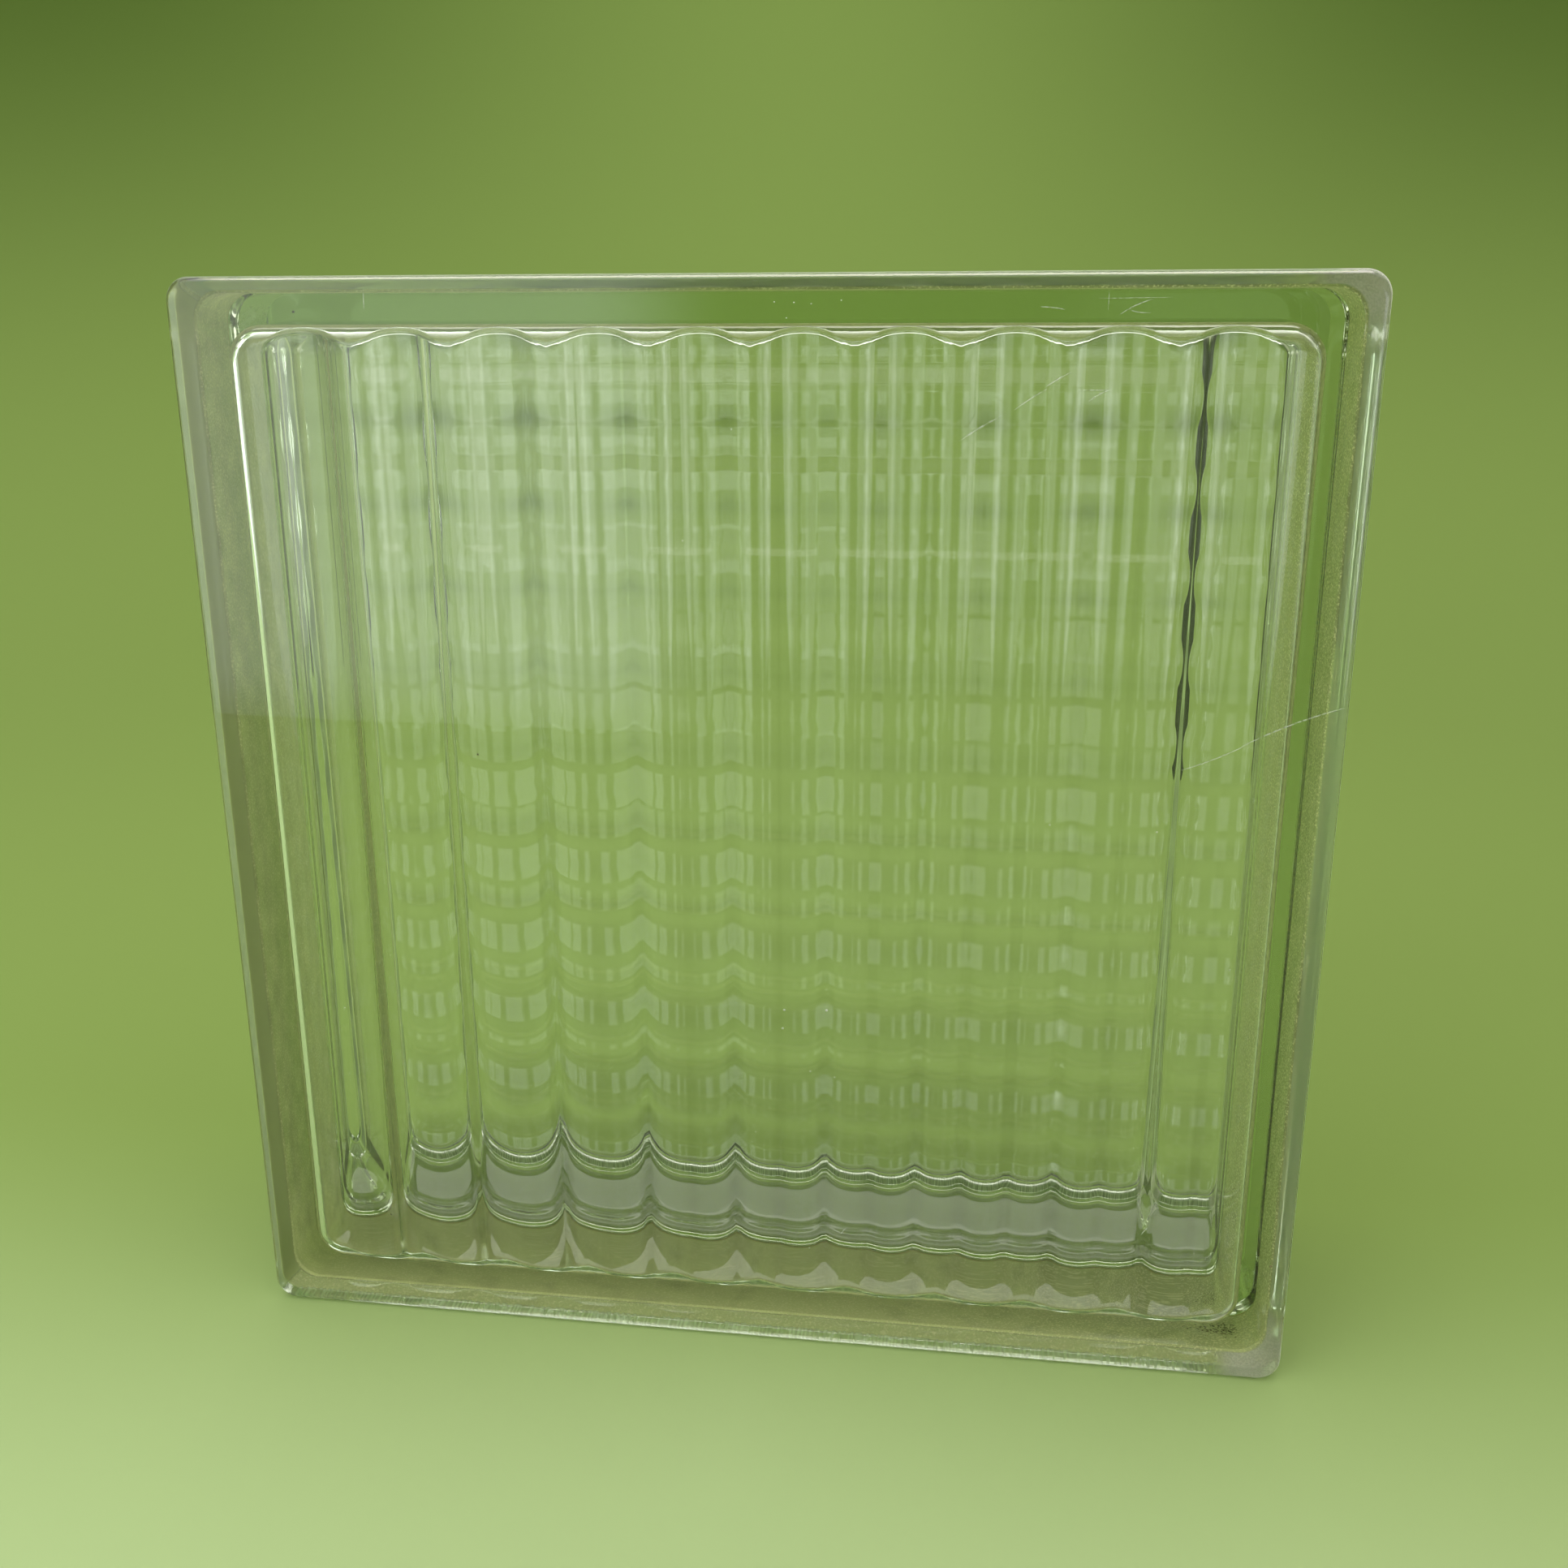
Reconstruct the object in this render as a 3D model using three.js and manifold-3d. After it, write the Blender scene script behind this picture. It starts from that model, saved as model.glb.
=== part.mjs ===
// A hollow glass block for a wall or window, 194 x 194 x 60 mm.
//
// The block is two pressed glass half shells, fused mouth to mouth at mid depth.
// Both halves come out of the same mould: a smooth outer face, a fluted inner face, a rim lip
// round the edge and a recessed channel behind the lip that the mortar keys into. The back half
// is turned a quarter turn, so its flutes run level where the front ones stand upright.
//
// Units are millimetres. Z is up, the front face looks towards -Y, and the origin lies under the
// middle of the block, on the surface that it stands on.

import * as THREE from 'three';
import { mergeVertices } from 'three/addons/utils/BufferGeometryUtils.js';
import Module from 'manifold-3d';

// ---------------------------------------------------------------- driving dimensions (mm)

const FACE_SIZE = 194; // width and height over the rim lips
const BLOCK_DEPTH = 60; // outer face to outer face

// outside of the edge, from the face back to the seam
const RIM_RADIUS = 1.2; // rounding between the outer face and the lip
const LIP_DEPTH = 6; // from the outer face to the back of the lip
const SHOULDER_DEPTH = 3.2; // length of the slope from the lip down to the channel
const CHANNEL_RECESS = 2.5; // how far the mortar channel lies below the lip
const LIP_CORNER_RADIUS = 4; // corners of the lip, seen from the front
const CHANNEL_CORNER_RADIUS = 5; // corners of the channel, seen from the front

// glass thickness
const PLATE_THICKNESS = 6.7; // face plate, half way between a flute and a ridge
const SIDE_WALL = 5.1; // between the channel and the cavity, at the cavity's closed end

// the cavity of one half
const CAVITY_FILLET = 4; // between the face plate and the side walls
const CAVITY_CORNER_RADIUS = 6; // corners of the cavity, seen from the front
const CAVITY_DRAFT = 0.5; // widening of each side towards the mouth, so the plunger pulls out

// flutes pressed into the inner face
const FLUTE_PITCH = 16.75; // from one ridge to the next
const FLUTE_HEIGHT = 2; // from the bottom of a flute to the top of a ridge

// the bead of glass squeezed out where the two mouths are fused
const BEAD_WIDTH = 6.5; // across both halves
const OUTER_BEAD_RISE = 0.7; // above the floor of the channel
const INNER_BEAD_RISE = 0.6; // above the wall of the cavity

// fineness of the facets
const CORNER_STEPS = 6; // along a corner seen from the front
const ROUNDING_STEPS = 5; // along a rim rounding or a fillet
const BEND_STEPS = 4; // along a bead
const FLUTE_ARC_STEPS = 6; // along one ridge or one flute
const OVERCUT = 1; // how far a cutting body stands out past what it cuts
const FILLET_RUN_IN = 0.1; // how far the fillet starts below the flute bottoms

// ---------------------------------------------------------------- derived sizes

const HALF_FACE = FACE_SIZE / 2;
const HALF_DEPTH = BLOCK_DEPTH / 2;
const HALF_BEAD = BEAD_WIDTH / 2;
const HALF_CAVITY = HALF_FACE - CHANNEL_RECESS - SIDE_WALL;
const FLUTE_FLOOR = PLATE_THICKNESS - FLUTE_HEIGHT / 2;

// ---------------------------------------------------------------- solids and booleans

const wasm = await Module();
wasm.setup();

/** A three.js geometry as a manifold solid, with its shared vertices merged. */
function toSolid(geometry) {
  const bare = geometry.clone();
  bare.deleteAttribute('normal');
  bare.deleteAttribute('uv');
  const merged = mergeVertices(bare);
  return new wasm.Manifold(new wasm.Mesh({
    numProp: 3,
    vertProperties: merged.attributes.position.array,
    triVerts: Uint32Array.from(merged.index.array),
  }));
}

/** A manifold solid as a three.js geometry. */
function toGeometry(solid) {
  const mesh = solid.getMesh();
  const geometry = new THREE.BufferGeometry();
  geometry.setAttribute('position', new THREE.BufferAttribute(mesh.vertProperties, 3));
  geometry.setIndex(new THREE.BufferAttribute(mesh.triVerts, 1));
  return geometry;
}

// ---------------------------------------------------------------- lofts of rounded squares

/** One ring of a loft: a rounded square at height w, anticlockwise seen from +w. */
function roundedSquare(halfSize, cornerRadius, w) {
  const ring = [];
  const reach = halfSize - cornerRadius;
  for (let corner = 0; corner < 4; corner += 1) {
    const diagonal = (corner + 0.5) * Math.PI / 2;
    const centreU = Math.sign(Math.cos(diagonal)) * reach;
    const centreV = Math.sign(Math.sin(diagonal)) * reach;
    for (let step = 0; step <= CORNER_STEPS; step += 1) {
      const angle = (corner + step / CORNER_STEPS) * Math.PI / 2;
      const u = centreU + cornerRadius * Math.cos(angle);
      const v = centreV + cornerRadius * Math.sin(angle);
      ring.push(new THREE.Vector3(u, v, w));
    }
  }
  return ring;
}

/** The triangles that fill a flat ring, as index triples. */
function capFaces(ring) {
  const outline = ring.map((point) => new THREE.Vector2(point.x, point.y));
  return THREE.ShapeUtils.triangulateShape(outline, []);
}

/** A closed body through rings of equal length, stacked upwards, with a flat cap at each end. */
function loft(rings) {
  const count = rings[0].length;
  const indices = [];
  for (let level = 0; level + 1 < rings.length; level += 1) {
    for (let i = 0; i < count; i += 1) {
      const here = level * count + i;
      const next = level * count + (i + 1) % count;
      indices.push(here, next, next + count);
      indices.push(here, next + count, here + count);
    }
  }
  const top = (rings.length - 1) * count;
  for (const [a, b, c] of capFaces(rings[0])) {
    indices.push(c, b, a);
  }
  for (const [a, b, c] of capFaces(rings.at(-1))) {
    indices.push(top + a, top + b, top + c);
  }
  const geometry = new THREE.BufferGeometry().setFromPoints(rings.flat());
  geometry.setIndex(indices);
  return geometry;
}

// ---------------------------------------------------------------- one pressed half
//
// A half is drawn lying on its outer face: u and v run across the face from its middle, and w
// runs from the outer face (w = 0) to the mouth (w = HALF_DEPTH). The flutes run along v.

/** A soft S-bend along w, from one inset to another. */
function bend(fromInset, toInset, fromW, toW) {
  const middle = (fromW + toW) / 2;
  const curve = new THREE.CubicBezierCurve(
    new THREE.Vector2(fromInset, fromW),
    new THREE.Vector2(fromInset, middle),
    new THREE.Vector2(toInset, middle),
    new THREE.Vector2(toInset, toW),
  );
  return curve.getPoints(BEND_STEPS);
}

/** Section of the edge as (inset from the lip, w): rim rounding, lip, shoulder, channel, bead. */
function edgeSection() {
  const rim = new THREE.ArcCurve(RIM_RADIUS, RIM_RADIUS, RIM_RADIUS, -Math.PI / 2, -Math.PI, true);
  return [
    ...rim.getPoints(ROUNDING_STEPS),
    new THREE.Vector2(0, LIP_DEPTH),
    new THREE.Vector2(CHANNEL_RECESS, LIP_DEPTH + SHOULDER_DEPTH),
    ...bend(CHANNEL_RECESS, CHANNEL_RECESS - OUTER_BEAD_RISE, HALF_DEPTH - HALF_BEAD, HALF_DEPTH),
  ];
}

/** The half as a solid slab, with the shaped edge all round. */
function pressedSlab() {
  const rings = edgeSection().map(({ x: inset, y: w }) => {
    const shareOfRecess = w > LIP_DEPTH ? inset / CHANNEL_RECESS : 0;
    const radius = THREE.MathUtils.lerp(LIP_CORNER_RADIUS, CHANNEL_CORNER_RADIUS, shareOfRecess);
    return roundedSquare(HALF_FACE - inset, radius, w);
  });
  return loft(rings);
}

/** Section of the cavity's side as (inset from its fullest width, w), from the plate to the mouth. */
function cavitySection() {
  const radius = CAVITY_FILLET;
  const centreW = FLUTE_FLOOR - FILLET_RUN_IN + radius;
  const fillet = new THREE.ArcCurve(radius, centreW, radius, -Math.PI / 2, -Math.PI, true);
  const mouthInset = INNER_BEAD_RISE - CAVITY_DRAFT;
  const bead = bend(-CAVITY_DRAFT, mouthInset, HALF_DEPTH - HALF_BEAD, HALF_DEPTH);
  const pastMouth = new THREE.Vector2(mouthInset, HALF_DEPTH + OVERCUT);
  return [...fillet.getPoints(ROUNDING_STEPS), ...bead, pastMouth];
}

/** The plunger that presses the cavity, before its end is fluted. */
function smoothPlunger() {
  const rings = cavitySection().map(({ x: inset, y: w }) => {
    const radius = CAVITY_CORNER_RADIUS - Math.min(Math.max(inset, 0), CAVITY_CORNER_RADIUS / 2);
    return roundedSquare(HALF_CAVITY - inset, radius, w);
  });
  return loft(rings);
}

/**
 * The wavy line of the flutes as (u, w). Flutes and ridges are arcs of one radius that run into
 * each other without a crease, and a flute lies on the middle line of the block.
 */
function fluteLine() {
  const quarter = FLUTE_PITCH / 4;
  const rise = FLUTE_HEIGHT / 2;
  const radius = (quarter ** 2 + rise ** 2) / (2 * rise);
  const spread = Math.asin(quarter / radius);
  const fluteCentre = FLUTE_FLOOR + radius;
  const ridgeCentre = FLUTE_FLOOR + FLUTE_HEIGHT - radius;
  const up = Math.PI / 2;
  const flutesEachSide = Math.ceil((HALF_CAVITY + CAVITY_DRAFT) / FLUTE_PITCH);
  const points = [];
  for (let i = -flutesEachSide; i <= flutesEachSide; i += 1) {
    const u = i * FLUTE_PITCH;
    const flute = new THREE.ArcCurve(u, fluteCentre, radius, -up - spread, -up + spread);
    points.push(...flute.getPoints(FLUTE_ARC_STEPS));
    if (i < flutesEachSide) {
      const ridgeU = u + FLUTE_PITCH / 2;
      const ridge = new THREE.ArcCurve(ridgeU, ridgeCentre, radius, up + spread, up - spread, true);
      points.push(...ridge.getPoints(FLUTE_ARC_STEPS).slice(1, -1));
    }
  }
  return points;
}

/** The flutes as a long prism along v, filling everything from the wavy line to past the mouth. */
function flutedPrism() {
  const line = fluteLine();
  const top = HALF_DEPTH + 2 * OVERCUT;
  const topRight = new THREE.Vector2(line.at(-1).x, top);
  const topLeft = new THREE.Vector2(line[0].x, top);
  const outline = new THREE.Shape([...line, topRight, topLeft]);
  const length = 2 * (HALF_CAVITY + CAVITY_DRAFT + OVERCUT);
  const prism = new THREE.ExtrudeGeometry(outline, { depth: length, bevelEnabled: false });
  prism.translate(0, 0, -length / 2);
  prism.rotateX(Math.PI / 2);
  return prism;
}

/** One pressed half: the slab with the fluted plunger's shape pressed into it. */
function pressedHalf() {
  const plunger = toSolid(smoothPlunger()).intersect(toSolid(flutedPrism()));
  return toGeometry(toSolid(pressedSlab()).subtract(plunger));
}

// ---------------------------------------------------------------- the fused block

const X = new THREE.Vector3(1, 0, 0);
const Y = new THREE.Vector3(0, 1, 0);
const Z = new THREE.Vector3(0, 0, 1);

const glass = new THREE.MeshStandardMaterial({
  color: 0xdde8d8,
  roughness: 0.05,
  metalness: 0,
  transparent: true,
  opacity: 0.35,
});

/**
 * Stands a half up as a mesh. Its u, v and w axes are laid along three whole axes of the block,
 * which keeps the fused faces exactly flat against each other.
 */
function standUp(name, half, uAxis, vAxis, wAxis, faceY) {
  const geometry = half.clone().applyMatrix4(new THREE.Matrix4().makeBasis(uAxis, vAxis, wAxis));
  const mesh = new THREE.Mesh(geometry, glass);
  mesh.name = name;
  mesh.position.set(0, faceY, HALF_FACE);
  return mesh;
}

const half = pressedHalf();
const down = Z.clone().negate();
const forward = Y.clone().negate();

const glassBlock = new THREE.Group();
glassBlock.name = 'glass_block';
glassBlock.add(standUp('front_half', half, X, down, Y, -HALF_DEPTH)); // flutes upright
glassBlock.add(standUp('back_half', half, down, X, forward, HALF_DEPTH)); // flutes level

export default glassBlock;
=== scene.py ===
# %% [markdown]
# # A hollow glass block
#
# This lesson dresses a glass block, the kind that is laid in a wall or a window. The real thing is
# pressed from molten glass as two square half shells, which are then fused mouth to mouth. Almost
# everything that one sees in it is refraction, so the lesson spends its effort on true surfaces:
# a smooth outside, a fluted inside, and the little bead of glass where the halves were joined.

# %% Load the frame
import math

import bpy
import numpy as np
from mathutils import Euler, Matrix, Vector


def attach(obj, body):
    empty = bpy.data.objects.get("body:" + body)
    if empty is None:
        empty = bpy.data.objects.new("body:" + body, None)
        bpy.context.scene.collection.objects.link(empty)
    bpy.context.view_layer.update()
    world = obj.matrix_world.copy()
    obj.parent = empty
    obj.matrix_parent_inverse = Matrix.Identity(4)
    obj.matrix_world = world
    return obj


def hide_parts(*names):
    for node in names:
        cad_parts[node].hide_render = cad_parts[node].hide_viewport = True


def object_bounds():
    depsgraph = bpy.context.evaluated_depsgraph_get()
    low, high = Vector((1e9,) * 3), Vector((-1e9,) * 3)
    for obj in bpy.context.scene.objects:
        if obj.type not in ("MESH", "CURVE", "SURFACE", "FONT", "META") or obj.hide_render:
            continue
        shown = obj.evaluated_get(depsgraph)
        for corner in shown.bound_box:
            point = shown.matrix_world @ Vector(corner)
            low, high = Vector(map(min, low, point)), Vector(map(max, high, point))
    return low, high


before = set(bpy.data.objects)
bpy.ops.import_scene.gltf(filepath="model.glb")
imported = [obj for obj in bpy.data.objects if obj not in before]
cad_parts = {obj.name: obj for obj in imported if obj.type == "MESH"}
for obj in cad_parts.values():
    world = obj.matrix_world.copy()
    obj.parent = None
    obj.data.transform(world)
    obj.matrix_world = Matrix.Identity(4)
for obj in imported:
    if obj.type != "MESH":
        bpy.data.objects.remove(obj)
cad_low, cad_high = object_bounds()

MM = 0.001  # all lengths are metres, and most are easier to read as a number of millimetres
HALF_TURN = math.pi
QUARTER_TURN = math.pi / 2

FACE = cad_high.x - cad_low.x
DEPTH = cad_high.y - cad_low.y
HALF_FACE = FACE / 2
HALF_DEPTH = DEPTH / 2
print(f"The block is {FACE / MM:.0f} x {FACE / MM:.0f} mm and {DEPTH / MM:.0f} mm deep.")

# %% [markdown]
# ## The sizes of the pressing
#
# Both halves come out of the same mould. Their section has a rim lip, a shoulder, a recessed
# channel for the mortar, and a cavity whose closed end is fluted. The outer size comes from the
# frame, and these are the sizes of the section.

# %% Sizes of the section
RIM_RADIUS = 1.2 * MM
LIP_DEPTH = 6 * MM
SHOULDER_DEPTH = 3.2 * MM
CHANNEL_RECESS = 2.5 * MM
LIP_CORNER = 4 * MM
CHANNEL_CORNER = 5 * MM
OUTER_BEAD_RISE = 0.7 * MM

PLATE = 6.7 * MM
SIDE_WALL = 5.1 * MM
CAVITY_FILLET = 4 * MM
CAVITY_CORNER = 6 * MM
CAVITY_DRAFT = 0.5 * MM
INNER_BEAD_RISE = 0.6 * MM
BEAD_WIDTH = 6.5 * MM

FLUTE_PITCH = 16.75 * MM
FLUTE_HEIGHT = 2 * MM

HALF_CAVITY = HALF_FACE - CHANNEL_RECESS - SIDE_WALL
FLUTE_FLOOR = PLATE - FLUTE_HEIGHT / 2
BEAD_START = HALF_DEPTH - BEAD_WIDTH / 2
print(f"The cavity is {2 * HALF_CAVITY / MM:.1f} mm wide at its closed end.")

# %% [markdown]
# ## Rounded squares, all from one ring
#
# Every level of the block is a rounded square, only its size changes. So a ring is worked out once
# for a whole surface, as two arrays, and every level of it is a sum of the two. This keeps the
# same number of points on every level, which is what a clean skin of quads needs. Bending a
# primitive with a modifier would be quicker, but it would not keep the flat faces flat.

# %% One ring for every level
SIDE_STEPS = 154  # along one straight side of the cavity: about 15 to a flute and a ridge
CORNER_STEPS = 10  # round one corner


def square_ring(side_steps, corner_steps):
    """A rounded square as two arrays, S and U, of shape (points, 2), anticlockwise.

    A point of a square with corner radius r, whose corner centres lie at (+-reach, +-reach), is
    reach * S + r * U. S walks round the plain square and waits at each corner, while U, the
    outward unit normal, turns there by a quarter turn.
    """
    along = np.linspace(-1, 1, side_steps + 1)[1:-1]
    turn = np.linspace(0, QUARTER_TURN, corner_steps + 1)
    side_s = np.column_stack([np.ones_like(along), along])
    side_u = np.column_stack([np.ones_like(along), np.zeros_like(along)])
    corner_s = np.ones((len(turn), 2))
    corner_u = np.column_stack([np.cos(turn), np.sin(turn)])
    quarter_s = np.vstack([side_s, corner_s])
    quarter_u = np.vstack([side_u, corner_u])
    turned = np.array([[0, 1], [-1, 0]])  # a row vector times this is turned a quarter to the left
    turns = [np.linalg.matrix_power(turned, n) for n in range(4)]
    return np.vstack([quarter_s @ t for t in turns]), np.vstack([quarter_u @ t for t in turns])


def ring_sweep(ring, reach, radius, w):
    """Points of shape (levels, points, 3): level k is reach[k] * S + radius[k] * U at height w[k].

    reach, radius and w may each hold one number for a level, or one for every point of it.
    """
    s, u = ring
    levels = max(np.ndim(reach) and len(reach), np.ndim(radius) and len(radius), len(w))
    wide = [np.broadcast_to(np.reshape(a, (levels, -1)), (levels, len(s))) for a in (reach, radius, w)]
    plane = wide[0][..., None] * s + wide[1][..., None] * u
    return np.concatenate([plane, wide[2][..., None]], axis=2)


def ring_quads(levels, count):
    """Quads between neighbouring levels of a sweep, facing away from its axis."""
    here = np.arange((levels - 1) * count).reshape(levels - 1, count)
    after = np.roll(here, -1, axis=1)
    return np.stack([here, after, after + count, here + count], axis=2).reshape(-1, 4)


cavity_ring = square_ring(SIDE_STEPS, CORNER_STEPS)
print(f"One ring of the cavity has {len(cavity_ring[0])} points.")

# %% [markdown]
# ## The flutes
#
# The inner face is pressed into soft waves: a hollow flute, a round ridge, a flute again. Both
# are arcs of the same radius that meet without a crease. A ridge is thick glass and gathers
# light like a rod lens, and a flute spreads it. That is what breaks the view into bands.

# %% The wave of the inner face
quarter_pitch = FLUTE_PITCH / 4
half_rise = FLUTE_HEIGHT / 2
FLUTE_RADIUS = (quarter_pitch**2 + half_rise**2) / (2 * half_rise)


def flute_wave(u):
    """Height of the inner face over the outer one, at distance u from the middle line.

    From the middle of a flute outwards, the first quarter pitch is an arc that curves up,
    floor + R - sqrt(R^2 - a^2). The next quarter, counted back from the ridge, curves down.
    """
    from_flute = np.abs(u - FLUTE_PITCH * np.round(u / FLUTE_PITCH))
    from_ridge = FLUTE_PITCH / 2 - from_flute
    nearer = np.minimum(from_flute, from_ridge)
    sag = FLUTE_RADIUS - np.sqrt(FLUTE_RADIUS**2 - nearer**2)
    in_flute = from_flute < from_ridge
    return np.where(in_flute, FLUTE_FLOOR + sag, FLUTE_FLOOR + FLUTE_HEIGHT - sag)


print(f"Flutes and ridges are arcs of {FLUTE_RADIUS / MM:.2f} mm radius.")

# %% [markdown]
# ## The fluted plate and its border
#
# The waves run out into a fillet at the cavity's walls. Where a ridge meets the fillet, it climbs
# higher before it ends, so the border between them is itself a wavy line. The border is solved
# first. The plate's grid and the wall's rings are then both made to start on it, so that they
# share its points.

# %% The border between flutes and fillet
REACH = HALF_CAVITY - CAVITY_CORNER  # corner centres of the cavity, the same at every level
SETTLE_ROUNDS = 40


def fillet_border(ring):
    """For every point of the ring: how far inside the wall the flutes end, and the angle there.

    At angle a of the fillet, from 0 at the plate to a quarter turn at the wall, the glass stands
    r - r cos a above the flute floor, at r - r sin a inside the wall. Setting that height equal to
    the wave's gives a, and it is repeated until the point stops moving.
    """
    s, unit = ring
    inset = np.full(len(s), CAVITY_FILLET)
    for _ in range(SETTLE_ROUNDS):
        u = REACH * s[:, 0] + (CAVITY_CORNER - inset) * unit[:, 0]
        climb = (flute_wave(u) - FLUTE_FLOOR) / CAVITY_FILLET
        angle = np.arccos(1 - climb)
        inset = CAVITY_FILLET * (1 - np.sin(angle))
    return inset, angle


border_inset, border_angle = fillet_border(cavity_ring)
print(f"The flutes end {border_inset.min() / MM:.1f} to {border_inset.max() / MM:.1f} mm inside the wall.")


# %% The fluted plate as a grid
def plate_grid(ring, inset):
    """The fluted plate of one half, as points (columns, rows, 3) and quads facing the cavity.

    The columns start on the upper edge of the border, from its right end to its left end, and run
    straight down to the lower edge, because a flute is straight along its length.
    """
    s, unit = ring
    border = REACH * s + (CAVITY_CORNER - inset)[:, None] * unit
    first = SIDE_STEPS - 1
    columns = np.arange(first, first + 2 * (CORNER_STEPS + 1) + SIDE_STEPS - 1)
    rows = np.linspace(-1, 1, SIDE_STEPS + 1)
    u = np.repeat(border[columns, 0][:, None], len(rows), axis=1)
    v = border[columns, 1][:, None] * rows
    points = np.stack([u, v, flute_wave(u)], axis=2)
    index = np.arange(u.size).reshape(u.shape)
    right, left = index[:-1], index[1:]
    quads = np.stack([left[:, :-1], right[:, :-1], right[:, 1:], left[:, 1:]], axis=2)
    return points.reshape(-1, 3), quads.reshape(-1, 4)


plate_points, plate_quads = plate_grid(cavity_ring, border_inset)
print(f"The fluted plate has {len(plate_quads)} quads.")

# %% [markdown]
# ## The cavity's walls
#
# From the border the glass turns up through the fillet, leans outwards a little so that the
# plunger could be pulled out, and at the mouth swells into half of the fused bead.

# %% Fillet, wall and bead of the cavity
FILLET_STEPS = 8
WALL_STEPS = 3
BEND_STEPS = 8


def bend(start, end):
    """A soft S-bend between two (inset, w) points, level at both ends: a cubic curve whose two
    handles lie half way along w."""
    t = np.linspace(0, 1, BEND_STEPS + 1)
    inset = start[0] + (end[0] - start[0]) * (3 * t**2 - 2 * t**3)
    w = start[1] * (1 - t) ** 3 + 1.5 * t * (1 - t) * (start[1] + end[1]) + end[1] * t**3
    return inset, w


def cavity_walls(ring, angle):
    """Points (levels, points, 3) from the border, up the fillet and the wall, to the mouth."""
    share = np.linspace(0, 1, FILLET_STEPS + 1)[:, None]
    turn = angle + (QUARTER_TURN - angle) * share
    fillet_inset = CAVITY_FILLET * (1 - np.sin(turn))
    fillet_w = FLUTE_FLOOR + CAVITY_FILLET * (1 - np.cos(turn))
    top_of_fillet = FLUTE_FLOOR + CAVITY_FILLET
    up = np.linspace(0, 1, WALL_STEPS + 1)[1:]
    wall_inset = -CAVITY_DRAFT * up
    wall_w = top_of_fillet + (BEAD_START - top_of_fillet) * up
    bead_inset, bead_w = bend((-CAVITY_DRAFT, BEAD_START), (INNER_BEAD_RISE - CAVITY_DRAFT, HALF_DEPTH))
    rest_inset = np.concatenate([wall_inset, bead_inset[1:]])
    rest_w = np.concatenate([wall_w, bead_w[1:]])
    level = np.ones((1, len(angle)))
    inset = np.vstack([fillet_inset, rest_inset[:, None] * level])
    w = np.vstack([fillet_w, rest_w[:, None] * level])
    return ring_sweep(ring, np.full(len(inset), REACH), CAVITY_CORNER - inset, w)


wall_points = cavity_walls(cavity_ring, border_angle)
wall_quads = ring_quads(*wall_points.shape[:2])[:, ::-1]  # the glass's outside is the cavity's inside
print(f"The cavity's walls have {len(wall_quads)} quads.")

# %% [markdown]
# ## The outside
#
# The outside is one sweep from the front face to the back face: rim rounding, lip, shoulder,
# channel, bead, and the same again mirrored. A few extra levels close to each rounding keep the
# flat faces truly flat, because smooth shading would otherwise bend the light near their edges.

# %% The outer skin
OUTER_SIDE_STEPS = 32
OUTER_CORNER_STEPS = 14
RIM_STEPS = 10
SHOULDER_STEPS = 6
LIP_ROUND = 0.5 * MM  # rounding at both ends of the shoulder
GUARD = 0.1 * MM  # distance of a guarding level from the edge that it guards


def rounded(corner, before, after, radius, steps):
    """The points of an arc that rounds a corner of a section, with a guard on either side.

    With unit directions a and b from the corner to its neighbours and the angle t between them, the
    arc starts r / tan(t/2) along a, and its centre lies r / sin(t/2) along the bisector.
    """
    corner, before, after = (np.array(point, float) for point in (corner, before, after))
    a = (before - corner) / np.linalg.norm(before - corner)
    b = (after - corner) / np.linalg.norm(after - corner)
    half = math.acos(a @ b) / 2
    run = radius / math.tan(half)
    middle = (a + b) / np.linalg.norm(a + b)
    centre = corner + middle * radius / math.sin(half)
    turn = np.linspace(half - QUARTER_TURN, QUARTER_TURN - half, steps + 1)[:, None]
    across = (b - a) / np.linalg.norm(b - a)
    arc = centre + radius * (np.sin(turn) * across - np.cos(turn) * middle)
    return np.vstack([corner + a * (run + GUARD), arc, corner + b * (run + GUARD)])


def outer_section():
    """(inset, w) from the front face to the seam."""
    face = (HALF_FACE, 0)
    rim = (0, 0)
    lip_end = (0, LIP_DEPTH)
    shoulder_end = (CHANNEL_RECESS, LIP_DEPTH + SHOULDER_DEPTH)
    bead_start = (CHANNEL_RECESS, BEAD_START)
    bead = bend(bead_start, (CHANNEL_RECESS - OUTER_BEAD_RISE, HALF_DEPTH))
    return np.vstack([
        rounded(rim, face, lip_end, RIM_RADIUS, RIM_STEPS),
        rounded(lip_end, rim, shoulder_end, LIP_ROUND, SHOULDER_STEPS),
        rounded(shoulder_end, lip_end, bead_start, LIP_ROUND, SHOULDER_STEPS),
        [[CHANNEL_RECESS, BEAD_START - GUARD]],
        np.column_stack(bead),
    ]).T


def outer_skin():
    """Points and faces of the whole outside, with one face across each end."""
    inset, w = outer_section()
    inset = np.concatenate([inset, inset[-2::-1]])
    w = np.concatenate([w, DEPTH - w[-2::-1]])
    from_face = np.minimum(w, DEPTH - w)
    recess_share = np.where(from_face > LIP_DEPTH, inset / CHANNEL_RECESS, 0)
    radius = LIP_CORNER + (CHANNEL_CORNER - LIP_CORNER) * recess_share
    ring = square_ring(OUTER_SIDE_STEPS, OUTER_CORNER_STEPS)
    points = ring_sweep(ring, HALF_FACE - inset - radius, radius, w)
    levels, count = points.shape[:2]
    first = np.arange(count)
    ends = [first[::-1].tolist(), (first + (levels - 1) * count).tolist()]
    return points.reshape(-1, 3), ring_quads(levels, count), ends


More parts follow.
